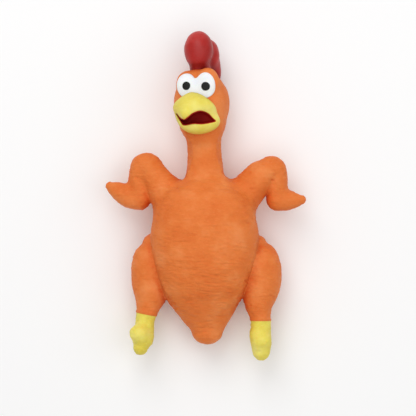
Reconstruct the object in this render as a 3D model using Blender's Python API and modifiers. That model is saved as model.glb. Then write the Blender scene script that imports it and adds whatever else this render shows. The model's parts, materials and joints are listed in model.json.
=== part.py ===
"""Squeaking rubber chicken: a stuffed latex toy with a bellows squeaker in its belly.

The toy lies on its back. +Z is up (the way the belly faces), +Y runs from tail to head and +X is the
chicken's own left. The origin is the centre of the back patch's flat outer face, so z = 0 is the table.
Tables below are in millimetres; everything is converted once, where a mesh is made.
"""

import math

import bmesh
import bpy
from mathutils import Matrix, Vector

MM = 0.001

# ---- walls and clearances, mm ----
SKIN = 1.8            # latex wall
FILL_GAP = 0.4        # between the latex and its stuffing
TURN_GAP = 2.0        # between a limb's rounded root and its socket
HIP_GAP = 1.2         # between a thigh's flat root and the body's flank
SEAT_GAP = 0.3        # between pieces that sit on each other
FEATURE_GAP = 0.4     # between a face feature and the skin it is on

# ---- cages ----
TORSO_SIDES = 10
LIMB_SIDES = 6
CAGE_LEVEL = 1

# ---- back patch ----
PATCH_THICK = 1.5
PATCH_HALF_X = 25.5
PATCH_HALF_Y = 41.5
VENT_RADIUS = 3.0

# ---- squeaker ----
SQUEAK_Y = 10.0       # where it lies along the back patch
SQUEAK_RADIUS = 18.0
SQUEAK_DISC = 2.0
BELLOWS_HEIGHT = 15.0
BELLOWS_PLEATS = 3
BELLOWS_WALL = 0.9
BELLOWS_DEPTH = 3.2
SQUEAK_TOP = 1.8
SQUEAK_POCKET = 1.5   # room round the squeaker in the stuffing
BARREL_RADIUS = 5.0
BARREL_WALL = 1.2
BARREL_HEIGHT = 8.0
REED_WIDTH = 2.6
REED_LENGTH = 5.0
REED_THICK = 0.4
REED_LIFT = 0.5       # air gap under the reed

# ---- joints: centre, mm ----
NECK_BASE = Vector((-0.5, 64.0, 34.0))
NECK_ROOT_RADIUS = 16.2
COLLAR_Y = 58.5
HEAD_CENTRE = Vector((-3.2, 122.0, 36.0))
HEAD_BASE = Vector((-1.5, HEAD_CENTRE.y - 30.0, 34.0))
HEAD_ROOT_RADIUS = 16.8
HEAD_TURN = math.radians(18.0)    # the face looks up and towards the chicken's right
COMB_HINGE_UP = 30.0              # above the head's centre
COMB_ROOT_RADIUS = 8.0
COMB_ROOT_HALF = 15.0

BODY_HALF_WIDTH = 49.5            # at the belly; shoulders and hips move out with it

# (x, y, z, half width, half depth) of each ring, tail to neck
TORSO_RINGS = [
    (2.2, -97.5, 27.0, 4.0, 4.0),
    (2.0, -91.0, 26.5, 12.5, 10.0),
    (1.3, -80.0, 26.0, 18.5, 15.0),
    (0.2, -66.0, 26.0, 27.0, 21.5),
    (-0.8, -49.0, 28.5, 38.0, 28.5),
    (-1.0, -25.0, 33.0, 45.5, 36.3),
    (-0.6, 0.0, 35.0, 49.0, 39.4),
    (-0.5, 20.0, 35.0, 49.5, 39.4),
    (-0.5, 37.0, 33.5, 45.0, 35.5),
    (0.0, 49.0, 32.5, 33.0, 27.0),
    (0.5, 57.0, 33.0, 20.5, 19.5),
    (-0.3, 65.0, 34.0, 16.4, 16.4),
    (-0.5, 76.0, 34.0, 16.4, 16.4),
]
WIDENING = BODY_HALF_WIDTH / max(ring[3] for ring in TORSO_RINGS)
TORSO_RINGS = [(*ring[:3], ring[3] * WIDENING, ring[4]) for ring in TORSO_RINGS]

# The neck's rounded root sits in the body's socket, and its far end in line with the head's root
NECK_BACK = NECK_BASE.y - NECK_ROOT_RADIUS
NECK_RINGS = [
    (-0.5, NECK_BACK + 2.4, 34.0, NECK_ROOT_RADIUS - 8.2, NECK_ROOT_RADIUS - 8.2),
    (-0.5, NECK_BACK + 6.7, 34.0, NECK_ROOT_RADIUS - 3.0, NECK_ROOT_RADIUS - 3.0),
    (-0.5, NECK_BACK + 13.7, 34.0, NECK_ROOT_RADIUS, NECK_ROOT_RADIUS),
    (-0.5, NECK_BASE.y + 8.0, 34.0, NECK_ROOT_RADIUS, NECK_ROOT_RADIUS),
    (-1.0, HEAD_BASE.y - 8.0, 34.0, 16.6, 16.6),
    (-1.5, HEAD_BASE.y + 4.0, 34.0, 17.2, 17.2),
]

# The head's rings are about its own centre: (across, up, forward, half width, half depth)
HEAD_RINGS = [
    (0.0, -46.5, -2.0, HEAD_ROOT_RADIUS - 10.3, HEAD_ROOT_RADIUS - 10.3),
    (0.0, -42.0, -2.0, HEAD_ROOT_RADIUS - 3.8, HEAD_ROOT_RADIUS - 3.8),
    (0.0, -34.0, -2.0, HEAD_ROOT_RADIUS, HEAD_ROOT_RADIUS),
    (0.0, -24.0, -1.5, 18.3, 18.3),
    (0.0, -12.0, -1.0, 24.0, 24.0),
    (0.0, 2.0, -0.5, 26.3, 26.8),
    (0.0, 16.0, 0.0, 24.6, 25.5),
    (0.0, 28.0, 0.0, 18.0, 19.5),
    (0.0, 35.5, 0.0, 7.5, 9.0),
]


def widen_shift(x):
    """How far something that far out moves when the body is made wider."""
    return Vector((x * (WIDENING - 1.0), 0.0, 0.0))


def shifted(rings, shift):
    return [(*(Vector(ring[:3]) + shift), *ring[3:]) for ring in rings]


class Wing:
    """One folded wing: where it bends at the shoulder, and its three stretches of rings."""

    def __init__(self, root, out, root_half, upper, forearm, hand):
        shift = widen_shift(root[0])
        self.root = Vector(root) + shift
        self.out = Vector(out).normalized()
        self.root_half = root_half
        self.stretches = [
            self.shoulder_rings() + shifted(upper, shift), shifted(forearm, shift), shifted(hand, shift),
        ]

    def shoulder_rings(self):
        """Half an egg turned about the shoulder line, so that the wing flaps in an egg-shaped hollow."""
        rings = []
        for share in (0.95, 0.7, 0.35, 0.0):
            centre = self.root - self.out * (WING_ROOT_RADIUS * share)
            narrow = math.sqrt(1.0 - share * share)
            rings.append((*centre, self.root_half * narrow, WING_ROOT_RADIUS * narrow))
        return rings

    def axis(self):
        return Vector((self.out.y, -self.out.x, 0.0))


WING_ROOT_RADIUS = 12.5
WINGS = {
    "right": Wing(
        root=(-35.5, 43.5, 36.0),
        out=(-0.67, 0.74, 0.0),
        root_half=18.0,
        upper=[
            (-43.0, 53.5, 36.0, 15.0, 12.8),
            (-51.0, 65.0, 36.0, 13.6, 12.6),
            (-53.8, 74.0, 36.0, 12.0, 11.5),
            (-54.0, 80.5, 36.0, 5.0, 5.0),
        ],
        forearm=[
            (-56.5, 76.5, 34.0, 6.0, 5.5),
            (-58.6, 69.5, 33.5, 10.6, 10.8),
            (-60.4, 56.0, 32.5, 10.9, 11.0),
            (-60.2, 42.0, 32.5, 10.6, 11.0),
            (-59.6, 32.0, 32.5, 9.6, 10.0),
            (-59.4, 26.5, 32.5, 4.0, 4.5),
        ],
        hand=[
            (-57.0, 35.2, 32.5, 6.0, 6.0),
            (-61.5, 37.2, 32.5, 10.8, 9.8),
            (-72.5, 42.4, 33.0, 9.0, 8.8),
            (-82.5, 47.2, 34.0, 7.0, 7.2),
            (-89.5, 50.0, 34.5, 3.0, 3.2),
        ],
    ),
    "left": Wing(
        root=(36.6, 42.5, 36.0),
        out=(0.78, 0.63, 0.0),
        root_half=17.0,
        upper=[
            (46.0, 52.5, 36.0, 14.4, 12.8),
            (55.5, 62.0, 36.0, 13.2, 12.6),
            (61.0, 70.5, 36.0, 11.0, 11.0),
            (63.0, 77.0, 36.0, 5.0, 5.0),
        ],
        forearm=[
            (64.5, 74.0, 34.0, 6.0, 5.5),
            (66.0, 67.0, 33.5, 10.0, 10.4),
            (67.4, 54.0, 32.5, 10.1, 10.6),
            (67.6, 42.0, 32.5, 10.0, 10.6),
            (67.4, 32.0, 32.5, 9.4, 9.8),
            (67.4, 26.2, 32.5, 4.0, 4.5),
        ],
        hand=[
            (63.5, 36.0, 32.5, 6.0, 6.0),
            (67.5, 36.0, 32.5, 9.8, 9.6),
            (78.5, 35.9, 33.0, 8.9, 8.8),
            (88.0, 36.6, 34.0, 6.4, 6.8),
            (93.2, 37.2, 34.5, 3.2, 3.4),
        ],
    ),
}


class Leg:
    """One leg: the plane its thigh turns in, the thigh's rings and the foot's."""

    def __init__(self, hip, out, thigh, ankle, foot, toe):
        shift = widen_shift(hip[0])
        self.hip = Vector(hip) + shift
        self.out = Vector(out).normalized()
        self.thigh = shifted(thigh, shift)
        self.ankle = Vector(ankle) + shift
        self.foot = shifted(foot, shift)
        self.toe = (*(Vector(toe[:3]) + shift), toe[3])


ANKLE_RADIUS = 8.6
LEGS = {
    "right": Leg(
        hip=(-44.4, -21.0, 30.0),
        out=(-0.968, -0.249, 0.0),
        thigh=[
            (-50.5, 6.0, 30.0, 8.5, 10.0),
            (-50.5, -6.0, 30.0, 15.4, 17.5),
            (-50.3, -22.0, 30.0, 18.2, 20.5),
            (-50.2, -40.0, 30.0, 17.4, 19.0),
            (-50.4, -55.0, 30.5, 14.6, 15.5),
            (-53.4, -64.5, 31.0, 10.4, 11.5),
            (-54.6, -70.0, 31.0, 9.8, 10.6),
            (-55.2, -82.0, 31.0, 9.6, 10.2),
        ],
        ankle=(-55.0, -73.5, 31.0),
        foot=[
            (-54.8, -65.9, 31.0, 4.5, 4.5),
            (-54.9, -69.0, 31.0, 7.4, 7.4),
            (-55.2, -74.0, 31.0, 8.9, 9.0),
            (-56.6, -83.0, 32.0, 10.6, 11.0),
            (-58.0, -92.5, 33.0, 10.2, 10.8),
            (-58.8, -100.5, 34.0, 7.6, 8.4),
            (-59.2, -105.2, 34.5, 3.2, 3.6),
        ],
        toe=(-60.2, -86.5, 41.0, 8.4),
    ),
    "left": Leg(
        hip=(42.0, -21.0, 31.0),
        out=(0.965, -0.262, 0.0),
        thigh=[
            (45.5, 6.0, 31.0, 9.0, 11.0),
            (48.6, -6.0, 31.5, 15.8, 18.0),
            (52.2, -22.0, 32.0, 18.8, 21.0),
            (51.8, -39.0, 32.0, 18.4, 20.0),
            (49.8, -53.5, 31.5, 17.0, 17.5),
            (49.2, -64.0, 31.0, 11.6, 12.5),
            (50.4, -71.0, 31.0, 9.6, 10.6),
            (51.4, -84.0, 31.0, 9.2, 10.0),
        ],
        ankle=(51.4, -77.0, 31.0),
        foot=[
            (51.4, -69.4, 31.0, 4.5, 4.5),
            (51.4, -72.5, 31.0, 7.2, 7.4),
            (51.4, -77.5, 31.0, 8.8, 9.0),
            (51.3, -87.0, 32.0, 9.4, 10.6),
            (51.3, -97.5, 33.0, 9.5, 10.6),
            (51.2, -105.0, 34.0, 7.2, 8.2),
            (51.2, -110.0, 34.5, 3.0, 3.4),
        ],
        toe=(52.0, -92.0, 41.0, 7.6),
    ),
}

# Face features are in the head's own axes, as the head's rings are.
COMB_FRONT_RINGS = [
    (0.0, 28.5, 3.0, 4.5, 7.0),
    (0.6, 38.8, 6.0, 8.8, 9.0),
    (-0.6, 47.5, 8.0, 12.6, 12.8),
    (-1.0, 57.0, 8.5, 12.8, 13.0),
    (-1.0, 65.5, 8.5, 9.0, 9.5),
    (-1.0, 70.8, 8.0, 3.5, 4.0),
]
COMB_REAR_RINGS = [
    (0.5, 27.0, -10.0, 4.5, 6.0),
    (4.2, 39.0, -11.0, 6.8, 8.5),
    (5.4, 48.0, -10.0, 8.3, 10.0),
    (4.6, 57.0, -8.0, 7.6, 9.0),
    (3.6, 63.5, -7.0, 3.5, 4.0),
]
# Beak rings run forward: (across, up, forward, half width, half height)
UPPER_BEAK_RINGS = [
    (0.0, 2.0, 10.0, 17.0, 10.0),
    (0.0, 1.5, 20.0, 20.0, 11.5),
    (0.0, 0.5, 31.0, 17.5, 11.0),
    (0.0, -3.0, 41.0, 11.0, 9.0),
    (-0.5, -8.0, 48.0, 5.5, 5.5),
    (-0.5, -11.5, 51.0, 2.5, 2.5),
]
LOWER_BEAK_RINGS = [
    (0.0, -17.5, 8.0, 15.0, 6.0),
    (0.0, -18.5, 18.0, 18.0, 7.2),
    (0.0, -19.0, 28.0, 15.5, 6.4),
    (0.0, -18.5, 36.0, 9.0, 4.8),
    (0.0, -17.5, 40.0, 3.5, 2.5),
]
MOUTH_CENTRE = Vector((0.0, -11.0, 24.0))
MOUTH_HALF = Vector((17.0, 6.2, 24.0))
MOUTH_WALL = 1.2
EYES = {"right": Vector((-11.0, 20.5, 15.5)), "left": Vector((11.0, 20.5, 15.5))}
EYE_HALF = Vector((10.5, 12.5, 10.0))
PUPIL_RADIUS = 3.9
PUPIL_THICK = 1.2
PUPIL_SINK = 0.2

COLOURS = {
    "orange": (0.86, 0.20, 0.03, 0.62),
    "yellow": (0.83, 0.68, 0.08, 0.6),
    "red": (0.52, 0.03, 0.025, 0.45),
    "maroon": (0.12, 0.004, 0.003, 0.6),
    "white": (0.85, 0.86, 0.87, 0.5),
    "black": (0.012, 0.012, 0.013, 0.3),
    "fibre": (0.82, 0.82, 0.80, 0.95),
    "clear_plastic": (0.75, 0.78, 0.80, 0.35),
    "reed_film": (0.80, 0.80, 0.76, 0.4),
}


# ---------------------------------------------------------------- helpers

def clear_scene():
    for obj in list(bpy.data.objects):
        bpy.data.objects.remove(obj)


def new_collection(name):
    collection = bpy.data.collections.new(name)
    bpy.context.scene.collection.children.link(collection)
    return collection


def material(name):
    found = bpy.data.materials.get(name)
    if found:
        return found
    red, green, blue, roughness = COLOURS[name]
    made = bpy.data.materials.new(name)
    made.use_nodes = True
    shader = made.node_tree.nodes["Principled BSDF"]
    shader.inputs["Base Color"].default_value = (red, green, blue, 1.0)
    shader.inputs["Roughness"].default_value = roughness
    made.diffuse_color = (red, green, blue, 1.0)
    return made


def add_object(name, mesh, colour=None, parent=None):
    """A part when it has a colour, otherwise a hidden cutter."""
    obj = bpy.data.objects.new(name, mesh)
    if colour:
        parts.objects.link(obj)
        mesh.materials.append(material(colour))
    else:
        cutters.objects.link(obj)
        obj.hide_render = True
        obj.display_type = "WIRE"
    obj.parent = parent
    return obj


def pivot(name, centre, parent=None, turn=0.0):
    """An empty on a joint's centre; turn swings it about Y, the way the face is turned."""
    empty = bpy.data.objects.new(name, None)
    parts.objects.link(empty)
    empty.empty_display_size = 10 * MM
    empty.matrix_world = Matrix.Translation(Vector(centre) * MM) @ Matrix.Rotation(turn, 4, "Y")
    if parent:
        hold_place(empty, parent)
    return empty


def hold_place(obj, parent):
    """Parents obj and leaves it where it is."""
    bpy.context.view_layer.update()
    place = obj.matrix_world.copy()
    obj.parent = parent
    obj.matrix_world = place


def boolean(obj, other, operation="DIFFERENCE"):
    modifier = obj.modifiers.new(operation.lower() + "_" + other.name, "BOOLEAN")
    modifier.operation = operation
    modifier.object = other
    modifier.solver = "EXACT"
    return obj


def smooth(obj, angle=40.0):
    obj.data.shade_smooth()
    obj.data.set_sharp_from_angle(angle=math.radians(angle))
    return obj


def inset_rings(rings, inset):
    """The rings of the same form with every radius less by inset, and its two ends drawn in."""
    rings = [(*ring[:3], max(ring[3] - inset, 0.6), max(ring[4] - inset, 0.6)) for ring in rings]
    for end, beside in ((0, 1), (-1, -2)):
        tip = Vector(rings[end][:3])
        step = Vector(rings[beside][:3]) - tip
        rings[end] = (*(tip + step.normalized() * min(inset, step.length * 0.7)), *rings[end][3:])
    return rings


def loft(name, rings, sides, inset=0.0, colour=None, deep_axis=(0.0, 0.0, 1.0), parent=None):
    """A soft form: a coarse cage through the rings, square to their path, then subdivided.

    A ring of a cubic subdivision settles inside its cage, so the cage is swelled to make up for it.
    """
    if inset:
        rings = inset_rings(rings, inset)
    swell = 3.0 / (2.0 + math.cos(2.0 * math.pi / sides))
    centres = [Vector(ring[:3]) for ring in rings]
    deep_axis = Vector(deep_axis)
    cage = bmesh.new()
    loops = []
    for i, (centre, ring) in enumerate(zip(centres, rings)):
        ahead = centres[min(i + 1, len(centres) - 1)] - centres[max(i - 1, 0)]
        across = ahead.normalized().cross(deep_axis).normalized()
        deep = across.cross(ahead.normalized())
        loop = []
        for k in range(sides):
            angle = 2.0 * math.pi * (k + 0.5) / sides
            offset = across * (ring[3] * math.cos(angle)) + deep * (ring[4] * math.sin(angle))
            loop.append(cage.verts.new((centre + offset * swell) * MM))
        loops.append(loop)
    for first, second in zip(loops, loops[1:]):
        for k in range(sides):
            cage.faces.new((first[k], first[(k + 1) % sides], second[(k + 1) % sides], second[k]))
    cage.faces.new(reversed(loops[0]))
    cage.faces.new(loops[-1])
    bmesh.ops.recalc_face_normals(cage, faces=cage.faces)
    mesh = bpy.data.meshes.new(name)
    cage.to_mesh(mesh)
    cage.free()
    obj = add_object(name, mesh, colour, parent)
    levels = obj.modifiers.new("subdivide", "SUBSURF")
    levels.levels = CAGE_LEVEL
    levels.render_levels = CAGE_LEVEL
    return smooth(obj, 60.0)


def united(name, stretches, sides, inset=0.0, colour=None, deep_axis=(0.0, 0.0, 1.0), parent=None):
    """One form from several lofts that run into each other."""
    whole = loft(name, stretches[0], sides, inset, colour, deep_axis, parent)
    for i, rings in enumerate(stretches[1:], 1):
        more = loft(f"{name}_stretch{i}_{inset:g}", rings, sides, inset, None, deep_axis, parent)
        boolean(whole, more, "UNION")
    return whole


def box(name, low, high, colour=None):
    """An axis-aligned block between two corners, mm."""
    low, high = Vector(low), Vector(high)
    mesh = bpy.data.meshes.new(name)
    shape = bmesh.new()
    bmesh.ops.create_cube(shape, size=1.0)
    size = high - low
    bmesh.ops.transform(shape, matrix=Matrix.Diagonal((*(size * MM), 1.0)), verts=shape.verts)
    shape.to_mesh(mesh)
    shape.free()
    obj = add_object(name, mesh, colour)
    obj.location = (low + high) / 2 * MM
    return obj


def ball(name, centre, radii, colour=None, parent=None, segments=24):
    mesh = bpy.data.meshes.new(name)
    shape = bmesh.new()
    bmesh.ops.create_uvsphere(shape, u_segments=segments, v_segments=segments // 2, radius=1.0)
    bmesh.ops.transform(shape, matrix=Matrix.Diagonal((*(Vector(radii) * MM), 1.0)), verts=shape.verts)
    shape.to_mesh(mesh)
    shape.free()
    obj = add_object(name, mesh, colour, parent)
    obj.location = Vector(centre) * MM
    return smooth(obj)


def cylinder(name, centre, radius, length, along=(0, 0, 1), colour=None, parent=None, segments=32):
    """A round bar whose middle is at centre."""
    mesh = bpy.data.meshes.new(name)
    shape = bmesh.new()
    bmesh.ops.create_cone(
        shape, cap_ends=True, segments=segments, radius1=radius * MM, radius2=radius * MM, depth=length * MM
    )
    shape.to_mesh(mesh)
    shape.free()
    obj = add_object(name, mesh, colour, parent)
    obj.rotation_mode = "QUATERNION"
    obj.rotation_quaternion = Vector(along).to_track_quat("Z", "Y")
    obj.location = Vector(centre) * MM
    return smooth(obj)


def lathed(name, rings, sides, colour=None):
    """Rings of (point, across, deep) joined into one closed form."""
    shape = bmesh.new()
    loops = [[shape.verts.new(point * MM) for point in ring] for ring in rings]
    for first, second in zip(loops, loops[1:]):
        for k in range(sides):
            shape.faces.new((first[k], first[(k + 1) % sides], second[(k + 1) % sides], second[k]))
    shape.faces.new(reversed(loops[0]))
    shape.faces.new(loops[-1])
    bmesh.ops.recalc_face_normals(shape, faces=shape.faces)
    mesh = bpy.data.meshes.new(name)
    shape.to_mesh(mesh)
    shape.free()
    return smooth(add_object(name, mesh, colour))


def bullet(name, centre, radius, length, along, across=None, stretch=1.0, segments=24):
    """A round-bottomed hole: half a ball at centre, then straight for length, stretched across."""
    along = Vector(along).normalized()
    across = Vector(across).normalized() if across else along.orthogonal().normalized()
    deep = along.cross(across)
    rings = []
    for back, share in ((0.98, 0.2), (0.87, 0.5), (0.64, 0.77), (0.34, 0.94), (0.0, 1.0)):
        rings.append((Vector(centre) - along * (radius * back), radius * share))
    rings.append((Vector(centre) + along * length, radius))
    angles = [2.0 * math.pi * k / segments for k in range(segments)]
    return lathed(name, [
        [middle + (across * (stretch * math.cos(a)) + deep * math.sin(a)) * wide for a in angles]
        for middle, wide in rings
    ], segments)


def half_space(name, point, outward, reach=90.0):
    """A block that fills the side of a plane that outward points to."""
    outward = Vector(outward).normalized()
    block = box(name, (-reach, -reach, 0.0), (reach, reach, 2.0 * reach))
    block.rotation_mode = "QUATERNION"
    block.rotation_quaternion = outward.to_track_quat("Z", "Y")
    block.location = (Vector(point) + outward * reach) * MM
    return block


def turned(name, profile, colour, steps=24):
    """A profile of (radius, z) points spun about Z; the profile closes on itself."""
    mesh = bpy.data.meshes.new(name)
    count = len(profile)
    points = [(radius * MM, 0.0, z * MM) for radius, z in profile]
    edges = [(i, (i + 1) % count) for i in range(count)]
    mesh.from_pydata(points, edges, [])
    obj = add_object(name, mesh, colour)
    screw = obj.modifiers.new("turn", "SCREW")
    screw.steps = steps
    screw.render_steps = steps
    screw.use_merge_vertices = True
    screw.merge_threshold = 0.00001
    return obj


# ---------------------------------------------------------------- sub-parts

def torso(pivots):
    """The body's latex skin, its stuffing and the openings for the limbs, patch and squeaker."""
    skin = loft("torso_skin", TORSO_RINGS, TORSO_SIDES, colour="orange", parent=None)
    boolean(skin, loft("torso_inside", TORSO_RINGS, TORSO_SIDES, SKIN))
    filling = loft("torso_stuffing", TORSO_RINGS, TORSO_SIDES, SKIN + FILL_GAP, "fibre")

    low = -20.0
    seat = PATCH_THICK + SEAT_GAP
    boolean(skin, box("back_flat", (-80, -120, low), (80, 90, seat)))
    boolean(filling, box("filling_flat", (-80, -120, low), (80, 90, seat + SKIN)))

    base_top = seat + SEAT_GAP + SQUEAK_DISC + SEAT_GAP
    boolean(skin, cylinder(
        "squeaker_seat", (0.0, SQUEAK_Y, (base_top + low) / 2), SQUEAK_RADIUS + SEAT_GAP, base_top - low,
    ))
    pocket_top = seat + SEAT_GAP + SQUEAK_DISC + BELLOWS_HEIGHT + SQUEAK_TOP + 3.0 * SEAT_GAP
    boolean(filling, cylinder(
        "squeaker_pocket", (0.0, SQUEAK_Y, (pocket_top + low) / 2),
        SQUEAK_RADIUS + SQUEAK_POCKET, pocket_top - low,
    ))

    neck_socket = bullet("neck_socket", NECK_BASE, NECK_ROOT_RADIUS + TURN_GAP, 40.0, (0, 1, 0))
    collar = half_space("collar", (0.0, COLLAR_Y, NECK_BASE.z), (0, 1, 0))
    for piece in (skin, filling):
        boolean(piece, neck_socket)
        boolean(piece, collar)
    for side, wing in WINGS.items():
        socket = wing_socket(side, wing)
        boolean(skin, socket)
        boolean(filling, socket)
    for side, leg in LEGS.items():
        flank = half_space(f"flank_{side}", leg.hip, leg.out)
        boolean(skin, flank)
        boolean(filling, flank)
    return skin, filling


def wing_socket(side, wing):
    """An egg-shaped hollow along the shoulder line, open outwards."""
    radius = WING_ROOT_RADIUS + TURN_GAP
    long_side = (wing.root_half + TURN_GAP) / radius
    return bullet(f"wing_socket_{side}", wing.root, radius, 60.0, wing.out, wing.axis(), long_side)


def back_patch():
    """The flat latex patch that closes the stuffing slot; the squeaker breathes through its vent."""
    mesh = bpy.data.meshes.new("back_patch")
    shape = bmesh.new()
    bmesh.ops.create_cone(shape, cap_ends=True, segments=32, radius1=1.0, radius2=1.0, depth=1.0)
    size = Vector((PATCH_HALF_X, PATCH_HALF_Y, PATCH_THICK)) * MM
    bmesh.ops.transform(shape, matrix=Matrix.Diagonal((*size, 1.0)), verts=shape.verts)
    shape.to_mesh(mesh)
    shape.free()
    patch = add_object("back_patch", mesh, "orange")
    patch.location = Vector((0.0, 0.0, PATCH_THICK / 2)) * MM
    smooth(patch)
    edge = patch.modifiers.new("soft_edge", "BEVEL")
    edge.width = 0.5 * MM
    edge.segments = 1
    edge.limit_method = "ANGLE"
    return boolean(patch, cylinder("vent", (0, SQUEAK_Y, 0), VENT_RADIUS, 12.0, segments=16))


def squeaker():
    """Base disc, reed barrel and reed, pleated bellows and the top disc that the belly presses."""
    base_z = PATCH_THICK + 2.0 * SEAT_GAP
    bellows_z = base_z + SQUEAK_DISC + SEAT_GAP
    top_z = bellows_z + BELLOWS_HEIGHT + SEAT_GAP
    hole = BARREL_RADIUS + SEAT_GAP
    centre = Vector((0.0, SQUEAK_Y, 0.0)) * MM

    base = turned("squeaker_base", [
        (hole, base_z + SQUEAK_DISC), (SQUEAK_RADIUS, base_z + SQUEAK_DISC),
        (SQUEAK_RADIUS, base_z), (hole, base_z),
    ], "clear_plastic")
    bellows = turned("squeaker_bellows", bellows_profile(bellows_z), "clear_plastic")
    barrel_inner = BARREL_RADIUS - BARREL_WALL
    barrel = turned("reed_barrel", [
        (barrel_inner, base_z + BARREL_HEIGHT), (BARREL_RADIUS, base_z + BARREL_HEIGHT),
        (BARREL_RADIUS, base_z), (barrel_inner, base_z),
    ], "clear_plastic", 16)
    for piece in (base, bellows, barrel):
        piece.location = centre
        smooth(piece)

    top = cylinder(
        "squeaker_top", (0, SQUEAK_Y, top_z + SQUEAK_TOP / 2), SQUEAK_RADIUS, SQUEAK_TOP,
        colour="clear_plastic", segments=24,
    )
    reed(base_z, barrel_inner)
    return top


def bellows_profile(start):
    """A zigzag wall: down the outside of the pleats and back up their inside."""
    pitch = BELLOWS_HEIGHT / BELLOWS_PLEATS
    top = start + BELLOWS_HEIGHT
    outer = [(SQUEAK_RADIUS - BELLOWS_DEPTH, top)]
    for i in range(BELLOWS_PLEATS):
        outer.append((SQUEAK_RADIUS, top - (i + 0.5) * pitch))
        outer.append((SQUEAK_RADIUS - BELLOWS_DEPTH, top - (i + 1) * pitch))
    inner = [(radius - BELLOWS_WALL, z) for radius, z in reversed(outer)]
    return outer + inner


def reed(base_z, barrel_inner):
    """A stepped half-round holder in the barrel; the tongue stands on the step over an air channel."""
    radius = barrel_inner - SEAT_GAP
    height = BARREL_HEIGHT - 1.0
    centre_y = SQUEAK_Y
    step = REED_HINGE_Z - SEAT_GAP
    middle = base_z + height / 2
    holder = cylinder("reed_holder", (0, centre_y, middle), radius, height, colour="clear_plastic", segments=16)
    boolean(holder, box("holder_flat", (-9, centre_y, step), (9, centre_y + 9, base_z + height + 2)))
    channel = 0.35 * REED_WIDTH
    boolean(holder, box(
        "air_channel", (-channel, centre_y - 1.2, base_z - 2), (channel, centre_y + 0.3, base_z + REED_LENGTH)
    ))
    low = REED_HINGE_Z
    return box(
        "reed_tongue",
        (-REED_WIDTH / 2, centre_y + REED_LIFT, low),
        (REED_WIDTH / 2, centre_y + REED_LIFT + REED_THICK, low + REED_LENGTH),
        "reed_film",
    )


REED_HINGE_Z = PATCH_THICK + 2.0 * SEAT_GAP + 1.0


def neck(pivots):
    skin = loft("neck_skin", NECK_RINGS, LIMB_SIDES, colour="orange")
    boolean(skin, loft("neck_inside", NECK_RINGS, LIMB_SIDES, SKIN))
    filling = loft("neck_stuffing", NECK_RINGS, LIMB_SIDES, SKIN + FILL_GAP, "fibre")
    boolean(skin, cylinder("neck_mouth", NECK_BASE - Vector((0, 16, 0)), 9.0, 12.0, (0, 1, 0)))
    socket = bullet("head_socket", HEAD_BASE, HEAD_ROOT_RADIUS + TURN_GAP, 24.0, (0, 1, 0))
    for piece in (skin, filling):
        boolean(piece, socket)
        hold_place(piece, pivots["neck"])


def to_head(point):
    """A point in the head's own axes (across, up, forward) in the toy's frame, mm."""
    return HEAD_CENTRE + Matrix.Rotation(-HEAD_TURN, 3, "Y") @ Vector(point)


def head(pivots):
    """Head skin and stuffing, mouth lining, beak halves, eyes and pupils, all in the head's own axes."""
    face = pivots["face"]
    skin = loft("head_skin", HEAD_RINGS, TORSO_SIDES, colour="orange", parent=face)
    boolean(skin, loft("head_inside", HEAD_RINGS, TORSO_SIDES, SKIN, parent=face))
    filling = loft("head_stuffing", HEAD_RINGS, TORSO_SIDES, SKIN + FILL_GAP, "fibre", parent=face)
    outside = loft("head_outside", HEAD_RINGS, TORSO_SIDES, -FEATURE_GAP, parent=face)

    root_hole = cylinder("head_mouth", (0.0, -46.0, -2.0), 8.0, 16.0, (0, 1, 0), parent=face)
    boolean(skin, root_hole)
    comb_groove = comb_socket(face)
    for piece in (skin, filling):
        boolean(piece, comb_groove)

    wall = Vector((1, 1, 1))
    mouth = ball("mouth_space", MOUTH_CENTRE, MOUTH_HALF, parent=face, segments=18)
    lining_outside = MOUTH_HALF + wall * MOUTH_WALL
    mouth_room = ball("mouth_room", MOUTH_CENTRE, lining_outside + wall * FEATURE_GAP, parent=face, segments=18)
    boolean(skin, mouth_room)
    boolean(filling, mouth_room)
    lining = ball("mouth_lining", MOUTH_CENTRE, lining_outside, "maroon", face, segments=18)
    boolean(lining, mouth)
    front = half_space("mouth_front", (0, 0, 15.0), (0, 0, 1))
    front.parent = face
    boolean(lining, front)

    upper = loft("upper_beak", UPPER_BEAK_RINGS, LIMB_SIDES, colour="yellow", deep_axis=(0, 1, 0), parent=face)
    lower = loft("lower_beak", LOWER_BEAK_RINGS, LIMB_SIDES, colour="yellow", deep_axis=(0, 1, 0), parent=face)
    for piece in (upper, lower):
        boolean(piece, outside)
        boolean(piece, mouth_room)

    for side, centre in EYES.items():
        white = ball(f"eye_white_{side}", centre, EYE_HALF, "white", face, segments=18)
        boolean(white, outside)
        middle = half_space(f"eye_middle_{side}", (0, 0, 0), (-centre.x, 0, 0))
        middle.location = Vector((-math.copysign(90.0 - FEATURE_GAP, centre.x), 0, 0)) * MM
        middle.parent = face
        boolean(white, middle)
        boolean(white, loft(f"beak_room_{side}", UPPER_BEAK_RINGS, LIMB_SIDES, -FEATURE_GAP,
                            deep_axis=(0, 1, 0), parent=face))
        pupil(side, centre, face)


def pupil(side, centre, face):
    """A thin round dome standing just off the front of the white."""
    look = Vector((-1.5, -0.8, 10.0)).normalized()
    stretch = Vector((look.x * EYE_HALF.x, look.y * EYE_HALF.y, look.z * EYE_HALF.z))
    cap = ball(f"pupil_{side}", centre, EYE_HALF + Vector((1, 1, 1)) * PUPIL_THICK, "black", face, segments=18)
    under = ball(
        f"pupil_under_{side}", centre, EYE_HALF + Vector((1, 1, 1)) * PUPIL_SINK, parent=face, segments=20
    )
    boolean(cap, under)
    rod = cylinder(
        f"pupil_edge_{side}", centre + stretch, PUPIL_RADIUS, 12.0, (0, 0, 1), parent=face, segments=16
    )
    boolean(cap, rod, "INTERSECT")


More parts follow.
